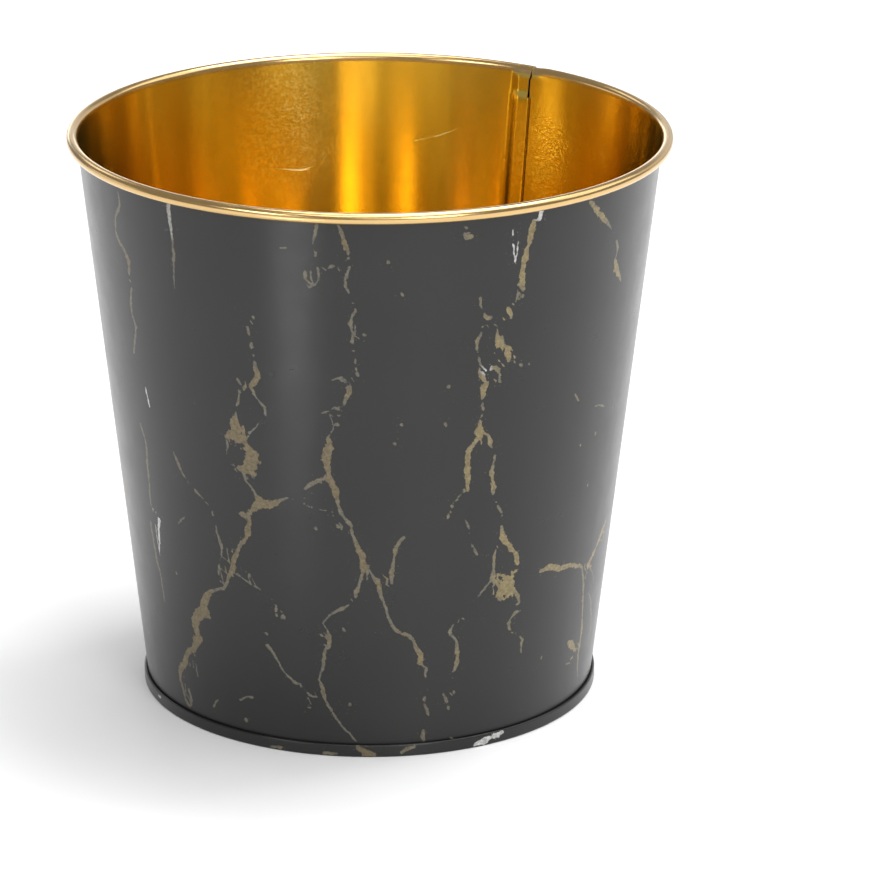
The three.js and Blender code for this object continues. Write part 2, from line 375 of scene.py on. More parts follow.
# ---------------------------------------------------------------- marble veins
# Strokes on the unrolled wall: (tone, points), each point (degrees round from the front,
# positive to the right; height; width). A tone runs from tan gold to greyish white.
GOLD, GREY, WHITE = 0, 0.45, 1
FRONT_STROKES = [
    # left-hand edge
    (GOLD, [(-57, 153, 0.8), (-57, 149, 1), (-59.5, 145, 0.8), (-60, 141, 0.6)]),
    (GOLD, [(-60, 139.5, 0.6), (-58.5, 138, 1.5), (-57, 136, 1.1), (-56, 133.5, 1.6), (-56.5, 130, 1)]),
    (GOLD, [(-56.3, 126, 0.9), (-57.2, 122, 1.3), (-57.3, 118, 0.9), (-56.2, 115, 1), (-58.5, 107, 0.7)]),
    (WHITE, [(-55.3, 98, 0.5), (-54.7, 94, 0.7), (-54.5, 92.5, 0.3)]),
    (GOLD, [(-59.5, 86, 1), (-57.8, 80, 0.8), (-58.5, 76, 1.3), (-58.8, 70, 0.8), (-59.3, 62, 0.8)]),
    (GOLD, [(-60.5, 57, 0.8), (-60.3, 52, 1), (-59.7, 46, 1), (-58.5, 42, 0.8), (-58.3, 34, 0.6)]),
    (WHITE, [(-56, 59.2, 1.5), (-56.8, 57, 0.9), (-57.3, 52, 0.8), (-58, 48, 0.4)]),
    (GREY, [(-41.5, 155, 1.5), (-41.5, 151, 1.1), (-41.3, 145.5, 0.6)]),
    (GOLD, [(-41.3, 145.5, 0.6), (-41.3, 141, 0.9), (-41.8, 134, 0.5), (-42, 130, 0.2)]),
    (GOLD, [(-17.5, 147.2, 0.4), (-15.8, 147.4, 0.5)]),
    # upper left, down to the two blots
    (GOLD, [(-23.8, 114.5, 0.5), (-23.5, 112, 1.4), (-23.2, 110, 1.7)]),
    (GOLD, [(-23.2, 110, 1.7), (-25, 106.5, 1.6), (-24.3, 105, 0.8)]),
    (GOLD, [(-23.8, 103.8, 0.4), (-22.8, 102.5, 0.7), (-21.9, 101.2, 1), (-22, 99, 0.4)]),
    (GOLD, [(-23.8, 96.5, 0.3), (-25, 94.5, 0.4), (-26, 93.3, 0.7)]),
    (GOLD, [(-27.7, 104.8, 0.7), (-28, 102, 1.1), (-28.8, 100.3, 0.5)]),
    (GOLD, [(-28.9, 98, 0.8), (-29.2, 95, 3.2), (-29.4, 92.4, 4.8)]),
    (GOLD, [(-32, 90.7, 0.9), (-29.5, 91.2, 2.4), (-27, 90.6, 1.3), (-26.5, 89, 1.6)]),
    (GOLD, [(-31.4, 90, 0.8), (-31.9, 86, 0.3)]),
    (GOLD, [(-26.5, 89, 1.6), (-26, 87.5, 3.2), (-25.6, 85.5, 4.8), (-26.2, 84, 4.6)]),
    (GOLD, [(-30.3, 81.8, 0.6), (-28, 83, 2), (-26.5, 83.5, 3.2)]),
    (GOLD, [(-27, 82.5, 1.8), (-28.2, 80.5, 0.5)]),
    (GOLD, [(-25.8, 82.5, 1.5), (-25.4, 80.7, 0.4)]),
    # left-hand vein
    (GOLD, [(-28.3, 80, 0.6), (-26.5, 78, 0.8), (-25.5, 75.5, 0.9), (-25, 73.8, 1.2)]),
    (GOLD, [(-25.5, 72.3, 2.3), (-24, 73.2, 2.9), (-22, 73.3, 2.3), (-20, 74.5, 1.3), (-17.7, 76, 0.4)]),
    (GOLD, [(-25.5, 72.3, 2), (-27.3, 69.3, 1.1), (-27.5, 67, 1.4), (-28, 64, 1.8), (-28.8, 61.5, 1.5)]),
    (GOLD, [(-29.4, 69, 1.3), (-27.8, 69.8, 0.9)]),
    (GOLD, [(-28.8, 61.5, 1.5), (-30.3, 60, 0.9), (-31, 57.5, 1.2), (-32.3, 54.5, 1.5), (-33, 51.5, 1.5)]),
    (GOLD, [(-33, 51.5, 1.5), (-34.2, 48.5, 1.1), (-35.5, 45.8, 0.9), (-38, 44.3, 0.8), (-40, 43.3, 1.2)]),
    (GOLD, [(-40, 43.3, 1.2), (-41.3, 41, 2.5), (-42.5, 38.5, 3.4), (-43, 36.5, 3.8), (-45, 34.5, 2.8)]),
    (GOLD, [(-40.8, 35.3, 0.6), (-42.8, 35.7, 2)]),
    (GOLD, [(-45, 34.5, 2.8), (-46.6, 33, 1.8), (-46, 30, 2.6), (-45.7, 27.5, 3.2), (-47, 25, 2.5)]),
    (GOLD, [(-47, 25, 2.5), (-48.3, 23.5, 2.1), (-50.3, 21.5, 1.6), (-52, 18, 2.2), (-54.3, 15, 2)]),
    (GOLD, [(-54.3, 15, 2), (-55, 12.5, 1.3), (-54.3, 9.5, 0.9), (-53.5, 6, 0.9), (-52, 4.5, 1.1)]),
    (GOLD, [(-52, 4.5, 1.1), (-50.8, 7, 0.7), (-51.5, 10, 1)]),
    (GOLD, [(-47.3, 19, 0.4), (-47.5, 16.5, 0.6), (-47.2, 15, 0.3)]),
    (GOLD, [(-47.5, 82, 0.6), (-46.3, 79, 1.1), (-45.3, 77, 1), (-44.4, 75.3, 0.4)]),
    (GOLD, [(-41.8, 73, 0.6), (-40.8, 71.8, 1.1), (-39.2, 70.9, 0.5)]),
    (GOLD, [(-36.5, 64, 0.3), (-36.3, 61.5, 0.8), (-35.3, 58.5, 0.9), (-35.6, 55, 0.3)]),
    (GOLD, [(-36.3, 52.8, 0.6), (-37, 50.5, 0.9), (-36.8, 49, 0.4)]),
    (GOLD, [(-48.5, 61, 0.3), (-46.2, 63.2, 0.9)]),
    (GOLD, [(-31.5, 50.8, 0.5), (-28.8, 49, 0.5), (-26.9, 48.3, 0.8), (-25.5, 47.2, 0.4)]),
    (GOLD, [(-24.9, 31, 0.8), (-23.5, 29.3, 0.8), (-22.2, 26.5, 0.6), (-20.8, 23.5, 0.6)]),
    (GOLD, [(-20.8, 23.5, 0.6), (-19, 21.8, 0.8), (-18, 20.8, 0.9), (-16.5, 20.7, 0.3)]),
    (GOLD, [(-15.5, 18.5, 0.5), (-14, 17.3, 0.8), (-12.8, 17.2, 0.4)]),
    (GOLD, [(-33.5, 12.5, 0.7), (-31.5, 14, 0.5), (-29.8, 14.3, 0.7)]),
    (GOLD, [(-42.5, 8, 0.9), (-41.3, 10, 0.6), (-40.3, 10.6, 0.3)]),
    # middle vein
    (GOLD, [(-10, 154, 1), (-10.5, 151, 0.8), (-10.7, 149.5, 0.3)]),
    (GOLD, [(-12.5, 141.7, 0.5), (-12.3, 140, 1.4), (-12.6, 138.6, 0.5)]),
    (GOLD, [(-10, 142.8, 0.5), (-9.7, 141.8, 1.2), (-9.9, 139, 0.4)]),
    (GOLD, [(-8, 142.5, 0.5), (-7, 143.3, 1), (-6.7, 144, 0.5)]),
    (GOLD, [(-12, 136.8, 0.5), (-10.6, 137.8, 0.6)]),
    (GOLD, [(-6, 155, 0.8), (-5.2, 152, 1), (-4.7, 149, 1.9), (-4, 146.8, 0.8)]),
    (GOLD, [(-4.8, 139.2, 0.9), (-4.6, 137, 0.7), (-4, 135.8, 0.5)]),
    (GOLD, [(-2.8, 131.7, 0.5), (-2.8, 130, 1.3)]),
    (GOLD, [(-3.5, 129, 0.7), (-3.7, 127, 1.1), (-3.6, 125.6, 0.5)]),
    (GOLD, [(-3, 117.3, 0.5), (-2.9, 115.8, 0.9)]),
    (GOLD, [(-7.8, 110.9, 0.4), (-6.6, 111.5, 0.9), (-5.7, 112, 0.7), (-5.2, 110.5, 0.4)]),
    (GOLD, [(-4, 109.8, 0.6), (-4.2, 108, 1.5), (-4.9, 106, 1.1), (-5.4, 103.9, 0.6)]),
    (GOLD, [(-5.8, 102.2, 0.7), (-6.2, 103, 0.9), (-7.3, 103.1, 0.4)]),
    (GOLD, [(-10, 101.4, 0.4), (-8.6, 101.9, 0.9)]),
    (GOLD, [(-7.3, 98, 0.6), (-8, 95.8, 0.3)]),
    (GOLD, [(-8.6, 94.5, 1), (-8.3, 92, 2.1), (-9, 89.5, 2.7), (-9.3, 87.5, 2.4), (-8.7, 85.5, 1.4)]),
    (GOLD, [(-8.7, 85.5, 1.4), (-8.4, 81.5, 1.6), (-7.3, 79, 1.9), (-7.2, 77.5, 1.5), (-6.7, 75, 0.9)]),
    (GOLD, [(-6.7, 75, 0.9), (-6.3, 72.8, 1), (-5.3, 70.9, 0.8), (-4.2, 69.5, 1), (-3.5, 65.5, 1)]),
    (GOLD, [(-3.5, 65.5, 1), (-2.6, 62.5, 1.4), (-1.7, 60, 1.8), (-1.2, 57.5, 1.9), (-1.6, 55, 1.2)]),
    (GOLD, [(-8.9, 82.8, 1), (-11, 81.6, 1.1), (-13, 80.2, 1), (-13.8, 79, 0.7)]),
    (GOLD, [(-14.8, 75, 0.3), (-13, 73.8, 0.5)]),
    (GOLD, [(-11, 73.5, 0.3), (-9.5, 73, 0.5)]),
    (GOLD, [(-1.6, 55, 1.2), (-2.2, 52.5, 0.8), (-2.6, 50.8, 0.8), (-3.2, 48.8, 1.5), (-3.2, 47.8, 0.7)]),
    (GOLD, [(-4.7, 45.5, 0.5), (-5.9, 44.6, 1.1), (-7.5, 43.5, 0.7), (-9.3, 42.2, 0.6), (-10.9, 39.5, 0.4)]),
    (GOLD, [(-9.9, 37.7, 0.5), (-9.3, 35.5, 1.4), (-9.3, 33.5, 1.1), (-10.5, 31.8, 0.9), (-10.7, 29.5, 1)]),
    (GOLD, [(-10.7, 29.5, 1), (-11, 26.5, 0.9), (-11.7, 24.3, 0.4), (-12.2, 22.3, 0.8)]),
    (GOLD, [(-11.5, 21, 0.9), (-11.2, 19, 1.3), (-11, 17.3, 0.9), (-10, 15, 0.7), (-9, 13, 0.9)]),
    (GOLD, [(-9, 13, 0.9), (-8.2, 11.2, 0.7), (-6.8, 8.8, 0.5), (-5, 6.8, 0.6), (-3.2, 4.2, 0.8)]),
    (GOLD, [(-0.9, 57.3, 1.2), (0.3, 55, 0.5), (1.2, 53.2, 0.8), (2.2, 52.2, 1.8), (2.3, 50, 1.2)]),
    (GOLD, [(2.3, 50, 1.2), (2.6, 48, 0.8), (3.6, 45.5, 1.1), (3.9, 44.2, 0.6)]),
    (GOLD, [(3.9, 43.2, 0.6), (4.6, 41, 0.9), (5.5, 38.5, 0.8), (7.3, 36.8, 1.4), (8.8, 36.6, 1)]),
    (GOLD, [(8.8, 36.6, 1), (10.2, 34.8, 0.9), (11, 32, 1.1), (12.2, 30, 1.7), (12.1, 28, 1.6)]),
    (GOLD, [(12.1, 28, 1.6), (12.3, 26.4, 0.6)]),
    (GOLD, [(13.5, 17, 0.7), (13.3, 16, 1)]),
    (GOLD, [(13.9, 14.5, 0.6), (14, 12.8, 1.1), (14.7, 11.2, 0.5)]),
    (GOLD, [(13.3, 7, 0.8), (13.3, 5, 1.1), (13.6, 3.6, 0.6)]),
    (GOLD, [(7.5, 65.5, 0.7), (6.3, 63.8, 0.9), (5.8, 62.5, 1.4), (5.5, 60.5, 0.9), (5.3, 57, 1)]),
    (GOLD, [(5.3, 57, 1), (4.9, 55, 1.3), (4.8, 53, 1), (5, 51.8, 0.4)]),
    # right-hand vein
    (GOLD, [(18.3, 149.9, 1), (19.3, 150.3, 1.2)]),
    (WHITE, [(28, 150.5, 0.4), (28.1, 148.5, 0.6)]),
    (WHITE, [(28.3, 146.8, 0.5), (28.5, 144.8, 0.7)]),
    (WHITE, [(28.9, 142.8, 0.5), (29, 141.4, 0.6)]),
    (WHITE, [(34.2, 155, 1.5), (33.9, 152.5, 1.5)]),
    (GOLD, [(32.6, 152.5, 1.1), (32.2, 149.5, 2.2), (32.1, 147, 1.7), (31.7, 145.2, 0.8)]),
    (GOLD, [(31.3, 144.7, 1.3), (31.2, 142, 1.9), (30.9, 139, 1.3), (30.9, 137, 2.2), (31.2, 134.8, 1.3)]),
    (GOLD, [(30.2, 133.3, 0.8), (30, 131.5, 0.9), (29.8, 130, 0.4)]),
    (GOLD, [(28.2, 128.5, 1.4), (28.7, 126.5, 1.8), (29, 125.7, 0.7)]),
    (GOLD, [(26, 123.7, 0.7), (26.2, 121, 1.2), (26.6, 118.7, 2), (27.7, 118.6, 0.9)]),
    (GOLD, [(27.7, 118.6, 0.9), (28.6, 117.5, 1.3), (28.9, 115.8, 2.6), (29.2, 113.6, 0.9)]),
    (GOLD, [(28, 119.8, 0.4), (28.2, 118.5, 0.8)]),
    (GOLD, [(26, 112.5, 1.3), (27, 111.3, 1.1), (27.3, 110, 0.7)]),
    (WHITE, [(24.1, 112.6, 0.6), (24.2, 110.7, 0.6)]),
    (GOLD, [(22, 133, 0.7), (22, 131.5, 1.2), (22, 130.5, 0.7)]),
    (GOLD, [(22.8, 128.5, 0.5), (23.2, 127, 1.5), (24.4, 126.3, 0.9), (24.3, 128.3, 0.4)]),
    (GOLD, [(22.6, 123, 0.4), (22.2, 121.7, 0.9), (21.6, 119.7, 1.1), (22, 117.7, 0.7)]),
    (GOLD, [(22.8, 113.5, 0.7), (22.8, 111.5, 1.2), (23.4, 109.8, 1.4), (24.3, 108.8, 1.2)]),
    (GOLD, [(23.2, 107.8, 0.8), (24, 106, 1.7), (23.8, 104.6, 1.6), (23.8, 103.7, 0.6)]),
    (GOLD, [(23.6, 97.5, 0.8), (23.3, 95.5, 2), (23.3, 93.8, 2.4)]),
    (GOLD, [(22.5, 91, 1.1), (21.3, 89.5, 1.4), (21, 86.5, 1.7), (21.2, 83, 1.7), (21.5, 78, 1.4)]),
    (GOLD, [(20.3, 77, 0.4), (19.3, 76, 0.6)]),
    (GOLD, [(17.5, 71.6, 0.6), (17.4, 70.2, 1)]),
    (GOLD, [(25.5, 92.7, 1), (26.2, 90.5, 1.6), (26.4, 89.3, 0.8)]),
    (GOLD, [(27.6, 86.7, 1), (27.3, 84.5, 0.7), (26.9, 82, 1.2), (27.2, 80, 1.4), (27.6, 78, 1.6)]),
    (GOLD, [(27.6, 78, 1.6), (27.7, 75.3, 0.8)]),
    (GOLD, [(29, 71.8, 0.6), (29.5, 70.8, 1), (30.3, 69, 0.5)]),
    (GOLD, [(30.5, 66, 0.8), (30.5, 64, 1), (31, 62.3, 1.9), (31.7, 60.5, 1.8), (33, 58.7, 1.7)]),
    (GOLD, [(33, 58.7, 1.7), (34.3, 57, 1.2), (35.2, 55, 1.6), (35.8, 52.8, 1.5)]),
    (GOLD, [(21.4, 69, 0.3), (22, 67, 0.7), (22.4, 66, 0.4)]),
    (GOLD, [(22.8, 62, 0.3), (23.5, 60.5, 0.6)]),
    (GOLD, [(29.3, 59, 0.6), (29.1, 56, 1.3), (29.2, 53, 0.7), (29.4, 50.2, 1.4)]),
    (GOLD, [(29.4, 50.2, 1.4), (28.6, 49.3, 0.6), (27, 47.3, 0.7), (25.5, 45.5, 0.5)]),
    (GOLD, [(32.6, 49.6, 1.8), (33.3, 48, 4.6), (33, 46.2, 4.6)]),
    (GOLD, [(30.6, 48, 1), (31.5, 46.5, 2), (31, 44.5, 1.6), (31.6, 43, 0.6)]),
    (GOLD, [(34.8, 46, 1.5), (36.2, 44, 1), (37, 41.8, 1.3), (37.4, 40.8, 0.4)]),
    (GOLD, [(38, 38.3, 0.4), (36.6, 38.3, 1), (35, 36.5, 0.6), (34.4, 35.7, 0.9), (35.2, 33.3, 0.9)]),
    (GOLD, [(38.3, 30.2, 0.8), (39.3, 29.5, 1), (39, 26.5, 0.9), (39.3, 25, 0.4)]),
    (GOLD, [(19.8, 38.4, 0.4), (19.2, 37, 0.8), (18.8, 35.5, 0.9), (20.2, 34.2, 0.5), (20.8, 33, 0.8)]),
    (GOLD, [(20.8, 33, 0.8), (21, 30, 1.2), (21.3, 27, 1.2), (21.1, 25.2, 1), (20.2, 23.4, 0.5)]),
    (GOLD, [(18, 17.8, 0.5), (18.6, 16.5, 1), (19.1, 15, 0.6)]),
    # right-hand edge
    (GOLD, [(46.5, 154, 1), (48.5, 151.5, 1.6), (50.3, 149, 2), (52, 147, 1.3), (55, 143.3, 0.4)]),
    (GOLD, [(57.3, 139.5, 0.6), (58.3, 137, 1.2), (58, 135.5, 0.7)]),
    (GOLD, [(57.5, 134, 1.2), (58.7, 131, 2.6), (60, 129, 1.6), (62, 126, 0.4)]),
    (GOLD, [(48.5, 98.8, 0.6), (49.8, 96.5, 1.1)]),
    (GOLD, [(56.5, 92.3, 0.4), (60, 91.5, 0.8), (61.5, 90.3, 0.4)]),
    (GOLD, [(43, 48.6, 1.1), (46, 49, 1.5), (50, 47, 1.7), (54, 46.6, 1.4), (57.5, 45, 1.5)]),
    (GOLD, [(57.5, 45, 1.5), (60, 44.2, 0.8), (62, 38, 1), (63.5, 30, 1), (65, 22, 1.3)]),
    (GOLD, [(65, 22, 1.3), (64.5, 16, 1.2), (65, 12, 0.9), (66.5, 7.5, 0.5)]),
    (GOLD, [(66, 34, 0.5), (69, 30, 0.8), (72, 22, 0.8), (72, 14, 0.4)]),
    (GOLD, [(57.5, 22, 1.2), (60, 20.5, 2.4), (62, 18, 1.3)]),
    (GOLD, [(58, 15.5, 0.5), (60, 15, 0.8)]),
]
FRONT_SPECKS = [
    (-23.5, 127), (-25, 124), (-24.7, 122), (-24.3, 118.5), (-27, 106.3), (-28, 108.3), (-37.3, 68),
    (-51.5, 45.5), (-28.3, 51.3), (-22.3, 43.8), (-22, 40.8), (-20.3, 40.8), (-25, 34.8), (-15, 14.2),
    (-32.3, 7), (-26, 3), (-10.5, 147), (-4.1, 143.3), (-4.6, 141.3), (-3.6, 124.3), (-3.7, 122.4),
    (-2.6, 113), (-6.9, 98.6), (-12, 68), (-7, 69), (-6.2, 38.3), (-11.3, 36.3), (13.4, 26.5),
    (13.3, 23.8), (18.2, 153), (17.8, 151.3), (3.2, 144.8), (6.1, 135.5), (16, 108.5), (6.4, 98.5),
    (15.7, 97.8), (5.2, 93), (-1.3, 124.5), (27.4, 108.2), (31.7, 112.2), (32.7, 111.7), (33.7, 112.1),
    (22.3, 115.3), (23.7, 101.2), (18, 73.6), (24.5, 58.7), (20.6, 18), (19.5, 13.3), (22, 39.8),
    (20.7, 3.8), (58.3, 84), (57.5, 69.3), (52.5, 82.5), (46.5, 21.8), (-5, 16), (31.2, 131.7),
]
CHIME_STROKES = [
    (GOLD, [(-25, 0.8, 0.6), (-22, 0.9, 1.2)]),
    (GOLD, [(-11, 0.9, 1), (-8, 0.9, 0.8)]),
    (GOLD, [(-2.8, 2.8, 1), (-1, 1.6, 2.4), (1, 0.8, 1.2)]),
    (GOLD, [(8, 1.2, 0.8), (9.5, 2.2, 1.3), (11, 2.6, 0.8)]),
    (WHITE, [(27, 1, 0.9), (29.5, 1.3, 1.8), (31, 2, 1.1), (33, 2.2, 1.5), (35, 2.8, 0.7)]),
    (WHITE, [(-68, 2.3, 0.8), (-66, 2.3, 0.8)]),
    (GOLD, [(95, 1.2, 0.8), (101, 2, 1.6)]),
    (GOLD, [(150, 1.8, 2), (156, 1, 0.7)]),
    (WHITE, [(196, 2, 1.2), (203, 1.4, 0.6)]),
    (GOLD, [(238, 1, 0.7), (244, 2.2, 1.5)]),
]

# Scratches in the lacquer inside, laid out as the veins are. Their tone isn't used.
SCRATCH_REACH = 5  # further from a scratch than this, it has no width
SCRATCHES = [
    (GOLD, [(-157, 126.9, 0.3), (-161, 126.2, 0.4), (-163.5, 125.6, 0.8)]),
    (GOLD, [(-163.5, 125.6, 0.8), (-165.5, 125.5, 0.8), (-168, 126.5, 0.3)]),
    (GOLD, [(171.5, 133.2, 0.1), (169, 134.1, 0.7), (165, 135.6, 0.6), (160, 138.5, 0.2)]),
    (GOLD, [(-160, 143.1, 0.4), (-163.1, 143.4, 0.2)]),
    (GOLD, [(20, 70, 0.2), (25, 72, 0.6), (31, 75, 0.2)]),
    (GOLD, [(-80, 48, 0.2), (-77, 46, 0.6), (-72, 43.5, 0.2)]),
    (GOLD, [(95, 101, 0.2), (99, 99, 0.6), (104, 97.5, 0.2)]),
]


def wandering_vein(chance, front, top, bottom, width):
    """Strokes that run down the wall, turning, swelling, breaking and branching."""
    strokes = []
    lean = chance.uniform(-0.4, 0.4)
    height = top
    path = [(front, height, 0.4 * width)]
    while height > bottom:
        front += lean * 5 + chance.uniform(-1.2, 1.2)
        height -= chance.uniform(2, 4)
        path.append((front, height, width * chance.choice((0.4, 0.6, 0.8, 1, 1.5))))
        if chance.random() < 0.2:
            lean = chance.uniform(-0.7, 0.7)
        if len(path) > chance.randint(2, 7):
            if chance.random() < 0.4:
                side = chance.choice((-1, 1))
                branch = []
                for i in range(4):
                    reach = side * i * chance.uniform(1.5, 2.6)
                    branch.append((front + reach, height - 2.6 * i, width * (0.6 - 0.15 * i)))
                strokes.append(branch)
            strokes.append(path + [(front, height - 1, 0.3 * width)])
            height -= chance.choice((1, 1, 2.5, 4))
            path = [(front, height, 0.5 * width)]
    strokes.append(path + [(front, height - 2, 0.3 * width)])
    return [(GOLD, path) for path in strokes]


def blot(chance, front, height, width):
    """A patch, wide in the middle, with a short leg on each side."""
    top = (front - 0.5, height + 2, 0.3 * width)
    bottom = (front + 0.6, height - 1, 0.8 * width)
    strokes = [[top, (front, height, width), bottom]]
    for side in (-1, 1):
        reach = chance.uniform(1.5, 3)
        hip = (front + side, height - 0.5, 0.5 * width)
        toe = (front + side * reach, height - chance.uniform(2, 4), 0.3)
        strokes.append([hip, toe])
    return [(GOLD, path) for path in strokes]


BACK_VEINS = (  # front angle, top, bottom and width
    (78, 156, 92, 1.2), (84, 74, 4, 1.5), (103, 140, 44, 1.4), (122, 156, 70, 1.0),
    (131, 96, 3, 1.7), (151, 156, 106, 1.3), (164, 118, 16, 1.5), (186, 150, 60, 1.1),
    (201, 92, 4, 1.8), (219, 156, 84, 1.3), (236, 108, 30, 1.0), (252, 150, 96, 1.2),
    (263, 80, 3, 1.6), (281, 132, 70, 0.9),
)
BACK_BLOTS = (  # front angle, height and width
    (106, 96, 4), (166, 62, 4.5), (203, 58, 5), (238, 80, 3.5), (152, 128, 3.5),
)
BACK_DASHES = ((96, 156), (178, 60), (229, 154), (270, 46))  # front angle and height
BACK_SPECKS = 60


def back_strokes():
    """The print carries on round the sides and back in the same manner."""
    chance = random.Random(83)
    strokes = []
    for vein in BACK_VEINS:
        strokes += wandering_vein(chance, *vein)
    for place in BACK_BLOTS:
        strokes += blot(chance, *place)
    for _ in range(BACK_SPECKS):
        front, height = chance.uniform(72, 288), chance.uniform(6, 152)
        tone = WHITE if chance.random() < 0.15 else GOLD
        width = chance.uniform(0.5, 1.1)
        end = (front + chance.uniform(-1, 1), height - 1.2, width)
        strokes.append((tone, [(front, height, width), end]))
    for front, height in BACK_DASHES:
        middle = (front - 0.3, height - 8, 1)
        end = (front + 0.4, height - 17, 0.3)
        strokes.append((WHITE, [(front, height, 1.3), middle, end]))
    return strokes


TINY = 1e-12  # keeps a level stroke from having no length where the radius is zero


def nearest_stroke(places, radii, strokes):
    """For each place, its offset from the nearest stroke and that stroke's ink.

    The offset is across, up and straight; the ink is half the stroke's width and its tone.
    """
    places = np.asarray(places, dtype=float)
    radii = np.asarray(radii, dtype=float)
    best = np.full(len(places), 1e9)
    offset = np.zeros((len(places), 3))
    ink = np.zeros((len(places), 3))
    for tone, path in strokes:
        for (front_a, z_a, width_a), (front_b, z_b, width_b) in zip(path, path[1:]):
            across = np.radians((places[:, 0] - front_a + 180) % 360 - 180) * radii
            up = places[:, 1] - z_a
            step_x = math.radians(front_b - front_a) * radii
            step_z = z_b - z_a
            squared = np.maximum(step_x**2 + step_z**2, TINY)
            along = np.clip((across * step_x + up * step_z) / squared, 0, 1)
            dx = across - along * step_x
            dz = up - along * step_z
            straight = np.hypot(dx, dz)
            half_width = (width_a + (width_b - width_a) * along) / 2
            closer = straight - half_width < best
            best = np.where(closer, straight - half_width, best)
            offset[closer] = np.stack((dx, dz, straight), 1)[closer]
            ink[closer] = np.stack((half_width, np.full(len(dx), tone), 0 * dx), 1)[closer]
    return offset, ink


def strokes_from_specks(specks):
    """Each speck is a very short stroke."""
    return [(GOLD, [(front, z, 0.8), (front + 0.3, z - 0.6, 0.8)]) for front, z in specks]


# ---------------------------------------------------------------- materials
class Nodes:
    """Short calls for building one material's node tree."""

    def __init__(self, name):
        self.material = bpy.data.materials.new(name)
        self.material.use_nodes = True
        self.tree = self.material.node_tree
        self.shader = self.tree.nodes["Principled BSDF"]

    def add(self, kind, **settings):
        node = self.tree.nodes.new("ShaderNode" + kind)
        for key, value in settings.items():
            setattr(node, key, value)
        return node

    def put(self, value, socket):
        if isinstance(value, bpy.types.NodeSocket):
            self.tree.links.new(value, socket)
        else:
            socket.default_value = value

    def math(self, operation, a, b=0.0, clamp=False):
        node = self.add("Math", operation=operation, use_clamp=clamp)
        self.put(a, node.inputs[0])
        self.put(b, node.inputs[1])
        return node.outputs[0]

    def vector(self, operation, a, b=(0, 0, 0)):
        node = self.add("VectorMath", operation=operation)
        self.put(a, node.inputs[0])
        self.put(b, node.inputs[1])
        return node.outputs["Value" if operation == "LENGTH" else "Vector"]

    def split(self, vector):
        node = self.add("SeparateXYZ")
        self.put(vector, node.inputs[0])
        return tuple(node.outputs)

    def place(self, stretch=(1, 1, 1)):
        """The object's own coordinates in millimetres, squeezed by stretch."""
        node = self.add("TexCoord")
        scale = tuple(s / MM for s in stretch)
        return self.vector("MULTIPLY", node.outputs["Object"], scale)

    def noise(self, place, per_mm, detail=2.0, roughness=0.5, colour=False):
        node = self.add("TexNoise")
        self.put(place, node.inputs["Vector"])
        self.put(per_mm, node.inputs["Scale"])
        self.put(detail, node.inputs["Detail"])
        self.put(roughness, node.inputs["Roughness"])
        return node.outputs["Color" if colour else "Fac"]

    def ramp(self, value, low, high, to_low=0.0, to_high=1.0, soft=False):
        node = self.add("MapRange", interpolation_type="SMOOTHSTEP" if soft else "LINEAR")
        for socket, number in zip(node.inputs, (value, low, high, to_low, to_high)):
            self.put(number, socket)
        return node.outputs[0]

    def mix(self, amount, a, b):
        node = self.add("Mix", data_type="RGBA")
        self.put(amount, node.inputs[0])
        self.put(a, node.inputs[6])
        self.put(b, node.inputs[7])
        return node.outputs[2]

    def bump(self, height, strength, distance):
        node = self.add("Bump")
        self.put(height, node.inputs["Height"])
        self.put(strength, node.inputs["Strength"])
        self.put(distance * MM, node.inputs["Distance"])
        self.put(node.outputs[0], self.shader.inputs["Normal"])

    def grain_round_the_axis(self):
        """Rolled grain: highlights stay sharp round the bucket and spread up and down it."""
        turn = self.add("Tangent", direction_type="RADIAL", axis="Z")
        self.put(turn.outputs[0], self.shader.inputs["Tangent"])
        self.shader.inputs["Anisotropic Rotation"].default_value = 0.25  # a quarter turn

    def set(self, **sockets):
        for name, value in sockets.items():
            self.put(value, self.shader.inputs[name.replace("_", " ")])
        return self.material


# Middles of the patches where the gold lacquer is finely crackled
CRAZED_PATCHES = ((-25, 74, 146), (-25, 73, 131), (49, 60, 134))
PATCH_CORE = 5
PATCH_EDGE = 19
BARELY_CRAZED = 0.1  # everywhere else


def vein_mask(nodes):
    """How far each point is on a vein, 0 to 1, then its distance, half width and tone.

    Noise pushes the offset about, which makes ragged edges, and swells the width.
    """
    place = nodes.place()
    vein = nodes.add("Attribute", attribute_name="vein").outputs["Vector"]
    ink = nodes.add("Attribute", attribute_name="ink").outputs["Vector"]
    half_width, tone, _ = nodes.split(ink)
    straight = nodes.split(vein)[2]
    flat = nodes.vector("MULTIPLY", vein, (1, 1, 0))
    for per_mm, reach in ((0.4, 0.9), (1.5, 0.4)):
        push = nodes.noise(place, per_mm, 2.0, 0.6, colour=True)
        push = nodes.vector("SUBTRACT", push, (0.5, 0.5, 0.5))
        push = nodes.vector("MULTIPLY", push, (reach, reach, 0))
        flat = nodes.vector("ADD", flat, push)
    # Half way between two veins the offset changes sign, and only the straight distance holds.
    distance = nodes.math("MAXIMUM", nodes.vector("LENGTH", flat), nodes.math("SUBTRACT", straight, 1.2))
    swell = nodes.ramp(nodes.noise(place, 0.5, 3.0, 0.65), 0.3, 0.7, 0.5, 1.4)
    inside = nodes.math("SUBTRACT", nodes.math("MULTIPLY", half_width, swell), distance)
    return nodes.ramp(inside, -0.12, 0.12, soft=True), distance, half_width, tone


